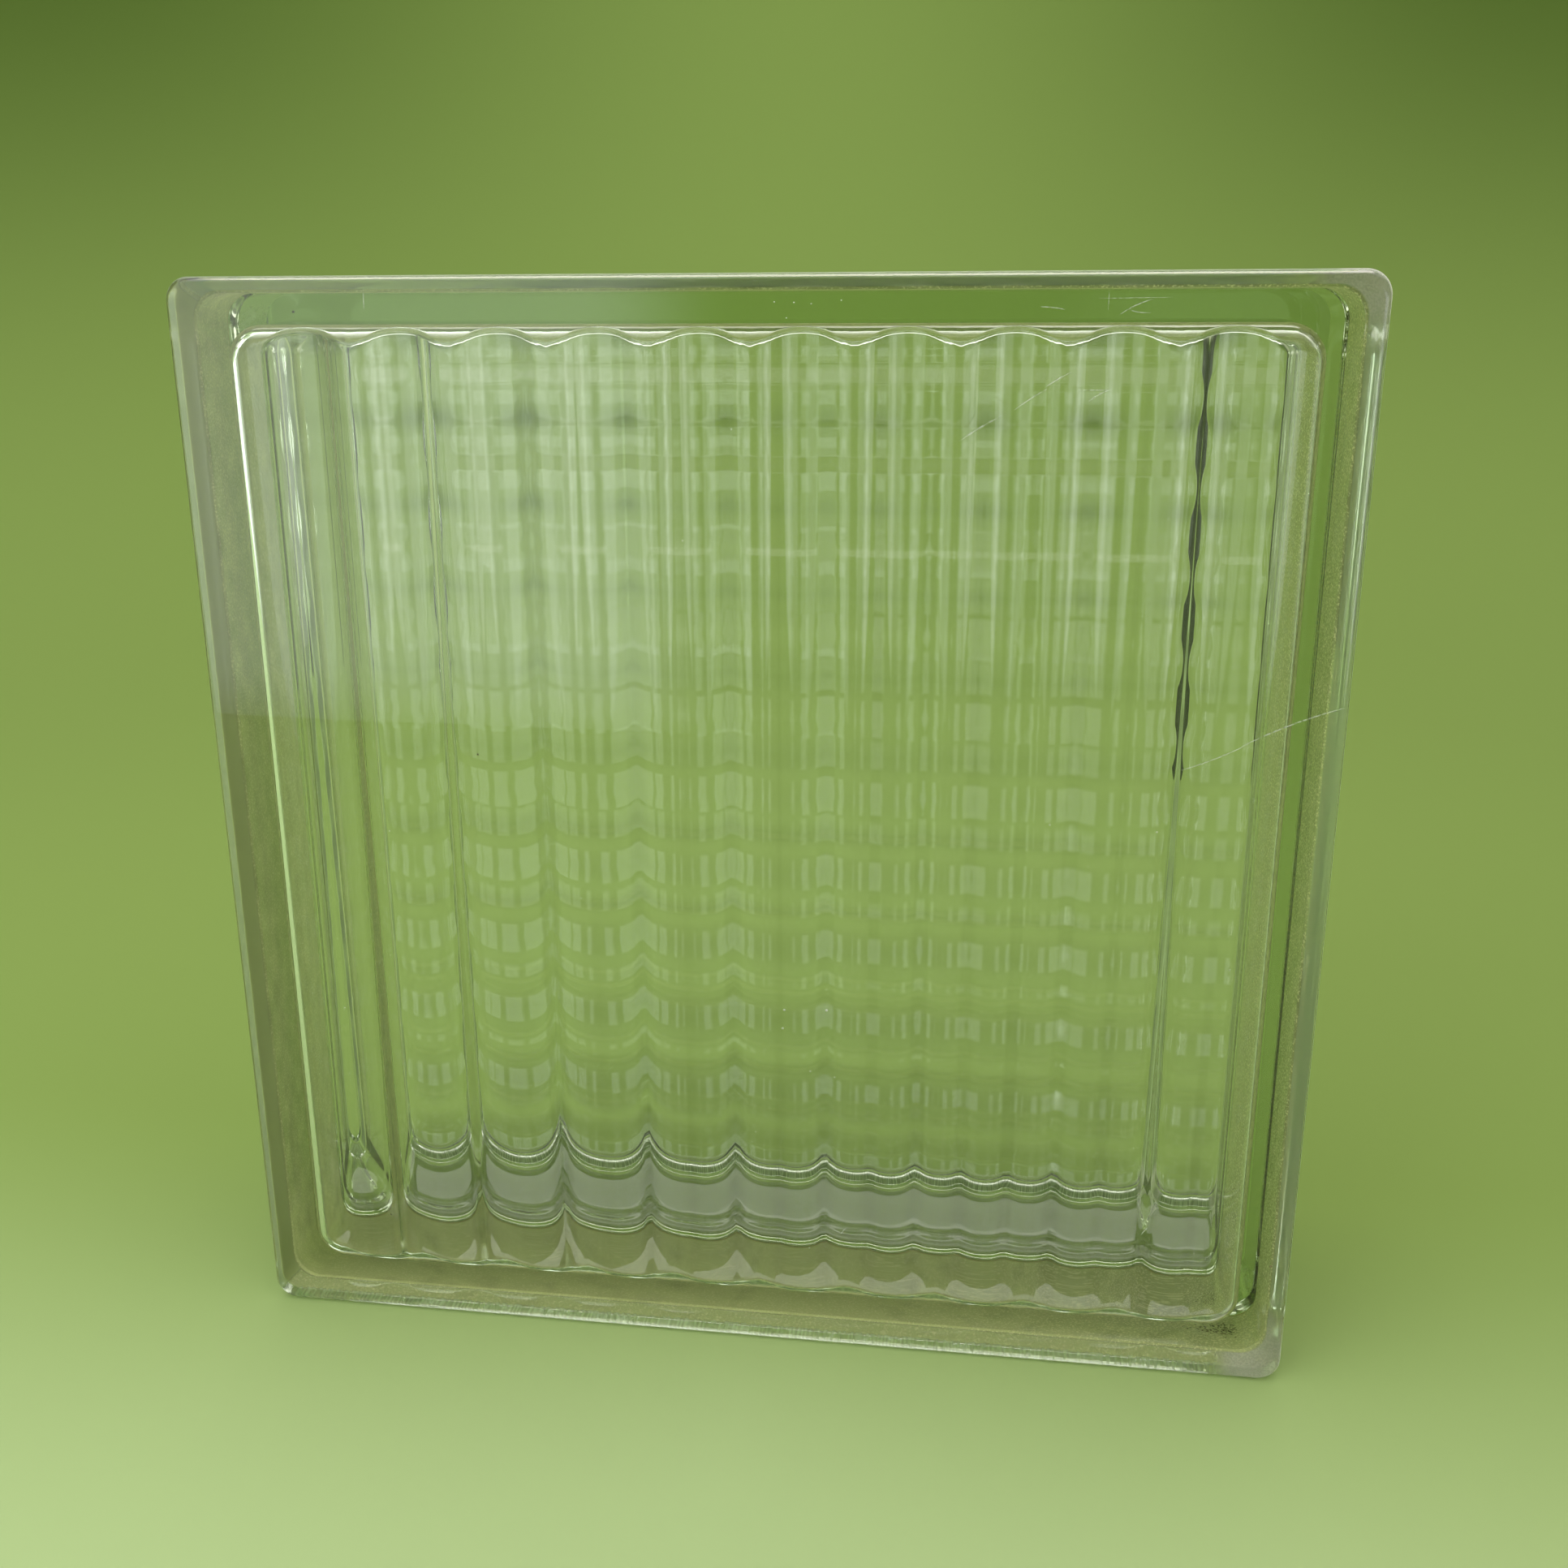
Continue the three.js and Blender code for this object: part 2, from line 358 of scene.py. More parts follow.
outer_points, outer_quads, outer_ends = outer_skin()
print(f"The outer skin has {len(outer_quads)} quads.")

# %% [markdown]
# ## Standing the halves up and welding them
#
# Each half was worked out lying on its outer face. The front one is stood up so that its flutes
# are upright. The back one is the same pressing, turned a quarter turn and facing the other way.
# The mouths then coincide point for point, and welding them leaves a single closed cavity.

# %% Stand up and weld
FRONT_AXES = np.array([[1, 0, 0], [0, 0, -1], [0, 1, 0]])  # where u, v and w point
BACK_AXES = np.array([[0, 0, -1], [1, 0, 0], [0, -1, 0]])
FRONT_PLACE = np.array([0, -HALF_DEPTH, HALF_FACE])
BACK_PLACE = np.array([0, HALF_DEPTH, HALF_FACE])
WELD = 0.0001 * MM  # points are told apart to this length


def weld(points, faces):
    """Merges points that coincide. faces is a list of arrays or lists of point numbers."""
    key = np.round(points / WELD).astype(np.int64)
    _, first, group = np.unique(key, axis=0, return_index=True, return_inverse=True)
    group = group.ravel()
    return points[first], [group[np.asarray(f)].tolist() for f in faces]


def gather(parts):
    """Joins (points, faces) pairs into one pair, with each part's numbers moved up."""
    points, faces, start = [], [], 0
    for part_points, part_faces in parts:
        points.append(part_points)
        faces += [np.asarray(f) + start for f in part_faces]
        start += len(part_points)
    return np.vstack(points), faces


shell_points = np.vstack([plate_points, wall_points.reshape(-1, 3)])
shell_quads = np.vstack([plate_quads, wall_quads + len(plate_points)])
all_points, all_faces = gather([
    (outer_points @ FRONT_AXES + FRONT_PLACE, [*outer_quads, *outer_ends]),
    (shell_points @ FRONT_AXES + FRONT_PLACE, shell_quads),
    (shell_points @ BACK_AXES + BACK_PLACE, shell_quads),
])
glass_points, glass_faces = weld(all_points, all_faces)
print(f"The block has {len(glass_points)} points and {len(glass_faces)} faces.")


# %% Make the object
def new_object(name, points, faces):
    """A smooth-shaded mesh object at the origin."""
    mesh = bpy.data.meshes.new(name)
    mesh.from_pydata(points.tolist(), [], faces)
    mesh.polygons.foreach_set("use_smooth", np.ones(len(mesh.polygons), bool))
    mesh.update()
    made = bpy.data.objects.new(name, mesh)
    bpy.context.scene.collection.objects.link(made)
    return made


block = new_object("glass_block_body", glass_points, glass_faces)
print(f"{block.name} has {len(block.data.polygons)} polygons.")

# %% [markdown]
# ## Shader arithmetic in plain Python
#
# Materials are easier to read as formulas than as wires. `Socket` wraps one output of a node, and
# its operators add Math nodes. Everything else comes from `Material.node`.

# %% A socket that can be calculated with
class Socket:
    """An output of a node, with arithmetic."""

    def __init__(self, material, output):
        self.material = material
        self.output = output

    def math(self, operation, *values):
        """The output of a Math node on these values."""
        return self.material.node("ShaderNodeMath", {"operation": operation}, [*values])

    def __add__(self, other):
        return self.math("ADD", self, other)

    def __sub__(self, other):
        return self.math("SUBTRACT", self, other)

    def __rsub__(self, other):
        return self.math("SUBTRACT", other, self)

    def __mul__(self, other):
        return self.math("MULTIPLY", self, other)

    def __truediv__(self, other):
        return self.math("DIVIDE", self, other)

    __radd__ = __add__
    __rmul__ = __mul__

    def __abs__(self):
        return self.math("ABSOLUTE", self)

    def at_least(self, other):
        return self.math("MAXIMUM", self, other)

    def at_most(self, other):
        return self.math("MINIMUM", self, other)

    def above(self, low, high):
        """0 under low, 1 over high, and a smooth step between them."""
        settings = {"interpolation_type": "SMOOTHSTEP"}
        sockets = {"Value": self, "From Min": low, "From Max": high}
        return self.material.node("ShaderNodeMapRange", settings, sockets)

    def below(self, low, high):
        """1 under low, 0 over high, and a smooth step between them."""
        return 1 - self.above(low, high)

    def parts(self):
        """The x, y and z of a vector."""
        return [self.material.node("ShaderNodeSeparateXYZ", {}, [self], axis) for axis in "XYZ"]


# %% A material that takes nodes of any kind
def pick(sockets, key):
    """A socket by number, or the one of that name that is switched on."""
    if isinstance(key, int):
        return sockets[key]
    return next(s for s in sockets if s.name == key and s.enabled)


class Material:
    """A new node material, with one method that adds any node."""

    def __init__(self, name):
        self.data = bpy.data.materials.new(name)
        self.data.use_nodes = True
        self.tree = self.data.node_tree
        self.tree.nodes.clear()

    @classmethod
    def wrap(cls, tree):
        """The same methods for a lamp's tree of nodes, which already has its output."""
        made = cls.__new__(cls)
        made.tree = tree
        return made

    def node(self, kind, settings=None, inputs=None, output=0):
        """Adds a node. inputs is a list in socket order, or a dict by socket name. Where a node
        keeps several sockets of one name, the one that is switched on is meant."""
        node = self.tree.nodes.new(kind)
        for name, value in (settings or {}).items():
            setattr(node, name, value)
        pairs = inputs.items() if isinstance(inputs, dict) else enumerate(inputs or [])
        for key, value in pairs:
            socket = pick(node.inputs, key)
            if isinstance(value, Socket):
                self.tree.links.new(value.output, socket)
            elif value is not None:
                socket.default_value = value
        return Socket(self, pick(node.outputs, output))

    def finish(self, surface, volume=None):
        """Joins the surface, and the volume if there is one, to the output."""
        links = {"Surface": surface}
        if volume is not None:
            links["Volume"] = volume
        end = self.tree.nodes.new("ShaderNodeOutputMaterial")
        for name, value in links.items():
            self.tree.links.new(value.output, end.inputs[name])
        return self.data


# %% The nodes that every finish uses
def matt(m, colour, **sockets):
    """A surface of some colour without any shine."""
    return m.node("ShaderNodeBsdfPrincipled", {}, {
        "Base Color": colour, "Roughness": 1.0, "Specular IOR Level": 0.0, **sockets,
    })


def matt_layer(m, colour, film_colour, passed, **sockets):
    """A matt layer that lets the share `passed` of the light through, tinted by its film."""
    paint = matt(m, colour, **sockets)
    film = m.node("ShaderNodeBsdfTranslucent", {}, {"Color": film_colour})
    return m.node("ShaderNodeMixShader", {}, [passed, paint, film])


def mix_colour(m, factor, a, b):
    """Colour a at factor 0, colour b at factor 1."""
    values = {"Factor": factor, "A": a, "B": b}
    return m.node("ShaderNodeMix", {"data_type": "RGBA"}, values, output="Result")


def noise(m, vector, scale, detail):
    """Smooth random values from 0 to 1, with about `scale` bumps to a metre."""
    return m.node("ShaderNodeTexNoise", {}, {"Vector": vector, "Scale": scale, "Detail": detail})


def relief(m, height, strength, distance):
    """A Bump node: tilts the normal as if the surface rose by height times distance."""
    return m.node("ShaderNodeBump", {}, {"Height": height, "Strength": strength, "Distance": distance})


# %% [markdown]
# ## The glass
#
# The glass is plain bottle-green soda-lime glass. Its colour is an absorption in the volume, so a
# thick stretch of it is deeper green than a thin one. A green surface colour would be simpler, but
# it would tint thin and thick places alike.
#
# The front half's channel carries a gritty coat for the mortar. Where the grit touches the glass,
# it stops the total reflection that one would otherwise see there, so those touching points are
# mixed over the glass by a mask. The coat could be a picture laid on the edge instead, but a mask
# of noise stays sharp however close one looks. Where the coat only lies near the glass, it is a
# piece of its own, made further down.

# %% Where the coat touches the glass
COAT_INNER = HALF_FACE - CHANNEL_RECESS - SIDE_WALL / 2  # between the cavity's wall and the channel
SEAM_BLUR = 0.4 * MM
COAT_START = HALF_DEPTH - BEAD_START  # from the seam to the foot of the bead
# width of the darker line beside the bead: dirt and painted shade
BEAD_DIRT_AND_SHADE_WIDTH = 0.8 * MM
UP_SHOULDER = 0.3 * MM  # how far the touching coat climbs the shoulder
CHANNEL_END = HALF_DEPTH - LIP_DEPTH - SHOULDER_DEPTH + UP_SHOULDER  # from the seam
LIT_LOW_HEIGHT = 30 * MM  # up to this height the coat covers more of the glass and is painted paler: painted light on its lower side
COAT_COVER = 0.75  # the share of the glass that the plain coat touches
GRAIN_COVER = 0.2  # what a grain adds to it
CLOUD_COVER = 0.3  # how far thin and thick places differ
LIT_LOW_COVER = 0.3  # what is added to the cover low down, as painted light
GRAIN_STEP = (0.52, 0.66)  # a noise value between these is the edge of a grain
SANDY_COVER = (-0.2, 0.35)  # what the sandier side adds to the plain cover, and to a grain's
BACK_HAZE = (0.08, 0.1)  # plain and grain on the back half
print(f"The coat starts {COAT_START / MM:.2f} mm from the seam and ends at {CHANNEL_END / MM:.2f} mm.")

# %% Colours of the coat
COAT_PAINT = (0.58, 0.62, 0.27, 1)
COAT_GRAIN = (0.92, 0.88, 0.52, 1)
COAT_BEAD_DIRT_AND_SHADE = (0.36, 0.26, 0.08, 1)  # where the mortar stopped, along the bead, and painted shade at its foot
COAT_FILM = (0.62, 0.64, 0.31, 1)
COAT_DIRT = (0, 0, 0, 1)
COAT_PASSED = 0.2  # the share of the light on the coat that passes through it
GRAIN_COLOUR = (0.35, 0.3)  # how far a grain changes the colour, and what the sandier side adds
# how far the coat is painted paler low down: painted light, not a colour of its own
LIT_LOW_COLOUR = 0.25
CLOUD_DIRT = 0.6
WEATHERED_DIRT = 0.2
WEATHERED_TO = -0.8 * HALF_FACE  # beyond this x, the outer tenth of the block's width, it is darker


# %% Where the coat touches, and its colour there
def coat_contact(m, place, grain, cloud):
    """How much of the coat touches the glass at a point, from 0 to 1, and its colour there.

    It touches where the larger of |x| and |z| from the middle is beyond the wall's core, between
    the shoulder's foot and the bead. The fine noise gives the grains and the coarse one gives thin
    places. The bead and the back half have only a haze. Low down it covers more and is paler, as
    painted light, and beside the bead it is darker, as dirt and painted shade.
    """
    x, y, z = place.parts()
    out = abs(x).at_least(abs(z - HALF_FACE))
    from_seam = abs(y)
    on_edge = out.above(COAT_INNER, COAT_INNER + SEAM_BLUR)
    on_channel = on_edge * from_seam.below(CHANNEL_END, CHANNEL_END + SEAM_BLUR)
    front = y.below(-COAT_START - SEAM_BLUR, -COAT_START + SEAM_BLUR)
    sandy = x.above(0.0, HALF_FACE)
    # painted light: low down the coat is paler and covers more of the glass
    lit_low = z.below(0.0, LIT_LOW_HEIGHT)
    grains = grain.above(*GRAIN_STEP)
    plain = COAT_COVER + SANDY_COVER[0] * sandy + CLOUD_COVER * (cloud - 0.5)
    thick = plain + (GRAIN_COVER + SANDY_COVER[1] * sandy) * grains + LIT_LOW_COVER * lit_low
    haze = BACK_HAZE[0] + BACK_HAZE[1] * grains
    grain_and_lit_low = (GRAIN_COLOUR[0] + GRAIN_COLOUR[1] * sandy) * grains + LIT_LOW_COLOUR * lit_low
    grained_and_lit_low = mix_colour(m, grain_and_lit_low, COAT_PAINT, COAT_GRAIN)
    weathered = x.below(-HALF_FACE, WEATHERED_TO) * (1 - lit_low)
    dirt = CLOUD_DIRT * (0.5 - cloud) + WEATHERED_DIRT * weathered
    dirty = mix_colour(m, dirt, grained_and_lit_low, COAT_DIRT)
    # dirt where the mortar stopped and painted shade at the foot of the bead
    beside_bead = from_seam.below(COAT_START, COAT_START + BEAD_DIRT_AND_SHADE_WIDTH)
    with_bead_dirt_and_shade = mix_colour(m, beside_bead, dirty, COAT_BEAD_DIRT_AND_SHADE)
    return on_channel * (front * thick + (1 - front) * haze), with_bead_dirt_and_shade


# %% [markdown]
# ## Where the glass is dull
#
# The lips come out of the mould slightly matt, and a used block is worn white at its corners and
# scratched on the side that it stands on. One roughness all over the lips would look like a new
# block dipped in acid. So three shares are worked out from the place on the block, and each mixes
# a matt layer of its own colour over the clear glass.

# %% How dull the lips are
BLOOM_COLOUR = (0.76, 0.88, 0.62, 1)
WORN_COLOUR = (0.95, 0.92, 0.88, 1)
FROST_PASSED = 0.6  # the share of the light on a matt place that passes through it
FACE_MARGIN = 0.3 * MM  # the dull layers end this far behind the outer faces
STANDING = 0.2 * MM  # glass below this height belongs to the side that the block stands on
SIDE_BLUR = 1 * MM

PLAIN_BLOOM = 0.05
LEFT_BLOOM = 0.27
RIGHT_BLOOM = 0.4
TOP_BLOOM = 0.3
UNDERSIDE_BLOOM = (0.32, 0.3)  # plain, and what a stripe adds
STRIPE_SCALE = 1500.0
STRIPE_STRETCH = (1, 0.05, 1)  # the stripes of the underside run from front to back
STRIPE_STEP = (0.4, 0.7)

DUST_SHARE = 0.6
DUST_BLUR = 0.3 * MM
WORN_SHARE = (0.8, 0.2)  # plain, and what a grain adds
WORN_STEP = (0.4, 0.6)
WORN_CORNER = 12 * MM  # how far the worn patch reaches from a corner
WORN_WANDER = 5 * MM  # the width over which its edge wanders
print(f"The worn patches reach {WORN_CORNER / MM:.0f} mm from a corner.")


# %% Bloom, dust and wear
def frost(m, place, grain, cloud):
    """Three shares from 0 to 1 of what dulls the lips and shoulders: bloom, dust and wear.

    The bloom is a plain share with more on the left, right and top side, or the scratched
    underside's share where that is larger. Dust lies on the left side's slope. The smaller of x
    and the height from the middle tells how near an upper or lower right corner is, and the noise
    lets the edge of the worn patch wander.
    """
    x, y, z = place.parts()
    across, from_seam, upward = abs(x), abs(y), abs(z - HALF_FACE)
    on_edge = across.at_least(upward).above(COAT_INNER, COAT_INNER + SEAM_BLUR)
    on_lips = on_edge * from_seam.above(CHANNEL_END, CHANNEL_END + SEAM_BLUR)
    layers_end = HALF_DEPTH - FACE_MARGIN
    behind_face = from_seam.below(layers_end - SEAM_BLUR, layers_end)
    where = on_lips * behind_face

    left = (0 - x - upward).above(0.0, SIDE_BLUR)
    right = (x - upward).above(0.0, SIDE_BLUR)
    top = (z - HALF_FACE - across).above(0.0, SIDE_BLUR)
    drawn_out = m.node("ShaderNodeVectorMath", {"operation": "MULTIPLY"}, [place, STRIPE_STRETCH])
    stripes = noise(m, drawn_out, STRIPE_SCALE, 0.0).above(*STRIPE_STEP)
    scratched = UNDERSIDE_BLOOM[0] + UNDERSIDE_BLOOM[1] * stripes
    underside = z.below(STANDING, STANDING + SEAM_BLUR) * scratched
    sides = PLAIN_BLOOM + LEFT_BLOOM * left + RIGHT_BLOOM * right + TOP_BLOOM * top
    bloom = sides.at_least(underside)

    slope_end = HALF_DEPTH - LIP_DEPTH
    dusty = left * from_seam.below(slope_end, slope_end + DUST_BLUR)
    toward_corner = x.at_most(upward) + WORN_WANDER * (cloud - 0.5)
    corner = toward_corner.above(HALF_FACE - WORN_CORNER, HALF_FACE - 0.5 * WORN_CORNER)
    worn = corner * (WORN_SHARE[0] + WORN_SHARE[1] * grain.above(*WORN_STEP))
    return where * bloom, where * DUST_SHARE * dusty, where * worn


# %% Pressed glass
GLASS_IOR = 1.52
BOTTLE_GREEN = (0.45, 0.64, 0.19, 1)
GREEN_DENSITY = 15.0  # how fast the green builds up, per metre
RIPPLE_SCALE = 60.0
RIPPLE_STRENGTH = 0.1
RIPPLE_HEIGHT = 0.1 * MM
GRAIN_SCALE = 2600.0
CLOUD_SCALE = 160.0


def pressed_glass():
    """Clear glass with a faint ripple, its dull layers and the touching coat mixed over it in
    turn, and the green in its volume."""
    m = Material("pressed_glass")
    place = m.node("ShaderNodeTexCoord", output="Object")
    ripple = noise(m, place, RIPPLE_SCALE, 0.0)
    grain = noise(m, place, GRAIN_SCALE, 1.0)
    cloud = noise(m, place, CLOUD_SCALE, 1.0)
    bump = relief(m, ripple, RIPPLE_STRENGTH, RIPPLE_HEIGHT)
    surface = m.node("ShaderNodeBsdfPrincipled", {}, {
        "Base Color": (1, 1, 1, 1), "Roughness": 0.0, "IOR": GLASS_IOR,
        "Transmission Weight": 1.0, "Normal": bump,
    })
    layers = zip(frost(m, place, grain, cloud), (BLOOM_COLOUR, COAT_PAINT, WORN_COLOUR))
    for share, colour in layers:
        layer = matt_layer(m, colour, colour, FROST_PASSED)
        surface = m.node("ShaderNodeMixShader", {}, [share, surface, layer])
    contact, colour = coat_contact(m, place, grain, cloud)
    coat = matt_layer(m, colour, COAT_FILM, COAT_PASSED)
    surface = m.node("ShaderNodeMixShader", {}, [contact, surface, coat])
    absorb = {"Color": BOTTLE_GREEN, "Density": GREEN_DENSITY}
    return m.finish(surface, m.node("ShaderNodeVolumeAbsorption", {}, absorb))


block.data.materials.append(pressed_glass())
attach(block, "root")
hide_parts("front_half", "back_half")
print(f"The glass is made with {len(block.active_material.node_tree.nodes)} nodes.")

# %% [markdown]
# ## The gritty coat
#
# On the shoulder the coat lies against the glass without wetting it. It only shows where the line
# of sight is steep enough to leave the glass, and elsewhere the slope still reflects like a
# mirror. It could be mixed over the slope as in the channel, but then the mirror would be gone. So
# it is a strip of its own there, a hair's breadth off the glass: a closed profile that is carried
# round the block by the same sweep as the outside's.

# %% The strip on the shoulder
COAT_GAP = 0.05 * MM
COAT_THICKNESS = 0.35 * MM
INNER_TOP = 0.05  # the share of the slope at which the strip starts, beside the glass
OUTER_TOP = 0.16  # and on its outside, so that its top is slanted


def coat_section():
    """(inset, w) once round the strip: down the slope beside the glass, and back on the outside.

    A point at share t of the slope (a, b) is moved out at right angles by a distance d, to
    t * (a, b) + d * (-b, a) / length.
    """
    slope = np.array([CHANNEL_RECESS, SHOULDER_DEPTH])
    out = np.array([-SHOULDER_DEPTH, CHANNEL_RECESS]) / np.linalg.norm(slope)
    near, far = COAT_GAP * out, (COAT_GAP + COAT_THICKNESS) * out
    corners = [INNER_TOP * slope + near, slope + near, slope + far, OUTER_TOP * slope + far]
    return (np.array([*corners, corners[0]]) + [0, LIP_DEPTH]).T


def coat_strip():
    """Points and faces of the strip, welded into one closed body."""
    inset, w = coat_section()
    radius = LIP_CORNER + (CHANNEL_CORNER - LIP_CORNER) * inset / CHANNEL_RECESS
    ring = square_ring(OUTER_SIDE_STEPS, OUTER_CORNER_STEPS)
    points = ring_sweep(ring, HALF_FACE - inset - radius, radius, w)
    quads = ring_quads(*points.shape[:2])[:, ::-1]
    return weld(points.reshape(-1, 3) @ FRONT_AXES + FRONT_PLACE, quads)


coat = new_object("edge_coat", *coat_strip())
coat.data.polygons.foreach_set("use_smooth", np.zeros(len(coat.data.polygons), bool))
print(f"The coat has {len(coat.data.polygons)} faces.")

# %% Its sandy paint
COAT_SHADE = (0.38, 0.42, 0.19, 1)
BLOTCH_SCALE = 200.0
BLOTCH_COLOUR = 0.2  # how far a blotch takes the colour from the shade to the grain
SAND_SCALE = 2000.0
SAND_STEP = (0.5, 0.7)
SAND_COLOUR = 0.4
SAND_STRENGTH = 0.8
SAND_HEIGHT = 0.3 * MM


def sandy_coat():
    """Olive paint full of sand. The blotches and the grains, each times its share, are added up to
    how far the colour goes from the shade to the grain, and the grains also stand out."""
    m = Material("sandy_coat")
    place = m.node("ShaderNodeTexCoord", output="Object")
    sand = noise(m, place, SAND_SCALE, 2.0)
    blotch = noise(m, place, BLOTCH_SCALE, 3.0)
    lighter = BLOTCH_COLOUR * blotch + SAND_COLOUR * sand.above(*SAND_STEP)
    colour = mix_colour(m, lighter, COAT_SHADE, COAT_GRAIN)
    bump = relief(m, sand, SAND_STRENGTH, SAND_HEIGHT)
    return m.finish(matt_layer(m, colour, COAT_FILM, COAT_PASSED, Normal=bump))


coat.data.materials.append(sandy_coat())
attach(coat, "root")
print(f"{coat.name} is painted with {coat.active_material.name}.")

# %% [markdown]
# ## Scratches, seeds and specks
#
# A used block has scratches on its faces, pressed glass has tiny bubbles that glass makers call
# seeds, and dirt sticks to it. Each is a small closed body just under the surface of the glass, so
# that it is seen through the surface as the real one is: a scratch is a thin ribbon, a seed or a
# speck is a small pebble. A Bump could draw them too, but a body keeps its sharp ends and can be
# moved or left out by itself.

# %% Scratches on the front face
UNDER_FACE = 0.03 * MM
MARKS_Y = -HALF_DEPTH + UNDER_FACE  # the y that marks under the front face are measured from
SCRATCH_DEPTH = 0.03 * MM
SCRATCH_STATIONS = 24
SCRATCH_TIP = 0.01  # the share cut from each end, where the ribbon would have no width
SCRATCHES = [  # start (x, z), end (x, z), bow to the left and widest place, in millimetres
    ((33.5, 168.4), (40.5, 172.6), 0.2, 0.22),
    ((42.0, 173.3), (47.0, 176.6), 0.1, 0.16),
    ((46.8, 176.9), (50.8, 179.2), 0.1, 0.20),
    ((53.3, 174.6), (56.8, 176.6), 0.2, 0.18),
    ((51.6, 176.4), (57.0, 176.4), 0.0, 0.12),
    ((57.2, 187.4), (62.4, 189.8), 0.3, 0.17),
    ((58.6, 188.3), (62.0, 187.8), -0.2, 0.11),
    ((54.0, 189.9), (65.2, 190.0), 0.0, 0.07),
    ((55.6, 190.9), (55.6, 188.2), 0.0, 0.08),
    ((45.4, 188.7), (49.2, 188.3), 0.1, 0.16),
    ((71.3, 116.0), (82.0, 121.0), -0.3, 0.16),
    ((80.5, 120.3), (96.4, 127.4), 0.5, 0.22),
    ((-62.6, 188.6), (-62.5, 192.0), 0.0, 0.12),
    ((16.0, 24.0), (17.5, 25.8), 0.2, 0.16),
    ((70.4, 28.6), (71.6, 30.4), 0.1, 0.16),
]


def ribbon(start, end, bow, width, y, depth):
    """A closed ribbon between two (x, z) points, as points and faces.

    At share t its middle lies at start + t * (end - start) + 4 * bow * t * (1 - t) to the left,
    and half its width is width / 2 * sqrt(sin(pi t)), so that both ends run out.
    """
    t = np.linspace(SCRATCH_TIP, 1 - SCRATCH_TIP, SCRATCH_STATIONS)[:, None]
    start, end = np.array([start, end], float) * MM
    along = (end - start) / np.linalg.norm(end - start)
    left = np.array([-along[1], along[0]])
    middle = start + t * (end - start) + 4 * bow * MM * t * (1 - t) * left
    aside = width * MM / 2 * np.sqrt(np.sin(HALF_TURN * t)) * left
    rails = np.stack([middle + aside, middle - aside, middle - aside, middle + aside], axis=1)
    across = np.broadcast_to([y, y, y + depth, y + depth], rails.shape[:2])
    points = np.stack([rails[..., 0], across, rails[..., 1]], axis=2)
    quads = ring_quads(SCRATCH_STATIONS, 4)[:, ::-1].tolist()
    last = 4 * (SCRATCH_STATIONS - 1)
    return points.reshape(-1, 3), [*quads, [0, 1, 2, 3], [last + 3, last + 2, last + 1, last]]


ribbons = [ribbon(*line, MARKS_Y, SCRATCH_DEPTH) for line in SCRATCHES]
scratches = new_object("surface_scratches", *gather(ribbons))
print(f"There are {len(SCRATCHES)} scratches.")

# %% Scored glass
SCORE_DULL = (0.72, 0.80, 0.62, 1)
SCORE_BRIGHT = (0.95, 0.97, 0.92, 1)
SKIP_SCALE = 1200.0
SKIP_STEP = (0.35, 0.6)
SKIP_ALPHA = 0.1  # how much of a scratch is left where it skips
SCORE_ALPHA = 0.35  # what is added to that where it bites


def scored_glass():
    """Broken glass along a scratch: whitish, and nearly missing where the scratch skips."""
    m = Material("scored_glass")
    place = m.node("ShaderNodeTexCoord", output="Object")
    bite = noise(m, place, SKIP_SCALE, 2.0)
    surface = m.node("ShaderNodeBsdfPrincipled", {}, {
        "Base Color": mix_colour(m, bite, SCORE_DULL, SCORE_BRIGHT), "Roughness": 0.8,
        "Specular IOR Level": 0.0, "Alpha": SKIP_ALPHA + SCORE_ALPHA * bite.above(*SKIP_STEP),
    })
    return m.finish(surface)


scratches.data.materials.append(scored_glass())
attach(scratches, "root")
print(f"{scratches.name} shows {scratches.active_material.name}.")

# %% Small pebbles
PEBBLE_RING = 6  # points round a pebble
PEBBLE_LEVELS = 4


def pebbles(centres, sizes):
    """Ellipsoids at centres (n, 3) with half-sizes (n, 3), each a small globe of quads: at tilt p
    and turn q a point of it lies at (cos p cos q, cos p sin q, sin p) times the half-sizes."""
    tilt = np.linspace(-QUARTER_TURN, QUARTER_TURN, PEBBLE_LEVELS + 2)[1:-1, None]
    turn = np.linspace(0, 2 * HALF_TURN, PEBBLE_RING, endpoint=False)
    height = np.broadcast_to(np.sin(tilt), (PEBBLE_LEVELS, PEBBLE_RING))
    globe = np.stack([np.cos(tilt) * np.cos(turn), np.cos(tilt) * np.sin(turn), height], axis=2)
    globe = globe.reshape(-1, 3)
    first = np.arange(PEBBLE_RING)
    caps = [first[::-1].tolist(), (first + len(globe) - PEBBLE_RING).tolist()]
    faces = [*ring_quads(PEBBLE_LEVELS, PEBBLE_RING), *caps]
    return gather([(centre + size * globe, faces) for centre, size in zip(centres, sizes)])


print(f"A pebble has {PEBBLE_RING * PEBBLE_LEVELS} points.")

# %% What the pebbles share
SPECK_SCALE = 500.0
SPECK_STEP = (0.35, 0.65)


def speck_finish(name, dark, light):
    """A matt finish that varies from speck to speck, because its noise is coarser than they are."""
    m = Material(name)
    place = m.node("ShaderNodeTexCoord", output="Object")
    shade = noise(m, place, SPECK_SCALE, 1.0)
    colour = mix_colour(m, shade.above(*SPECK_STEP), dark, light)
    return m.finish(m.node("ShaderNodeBsdfPrincipled", {}, {"Base Color": colour, "Roughness": 0.6}))


def on_face(places, depth):
    """Centres for (x, z) places in millimetres, at that depth behind the marks' common y."""
    x, z = np.array(places, float).T * MM
    return np.column_stack([x, np.full(len(x), MARKS_Y + depth), z])


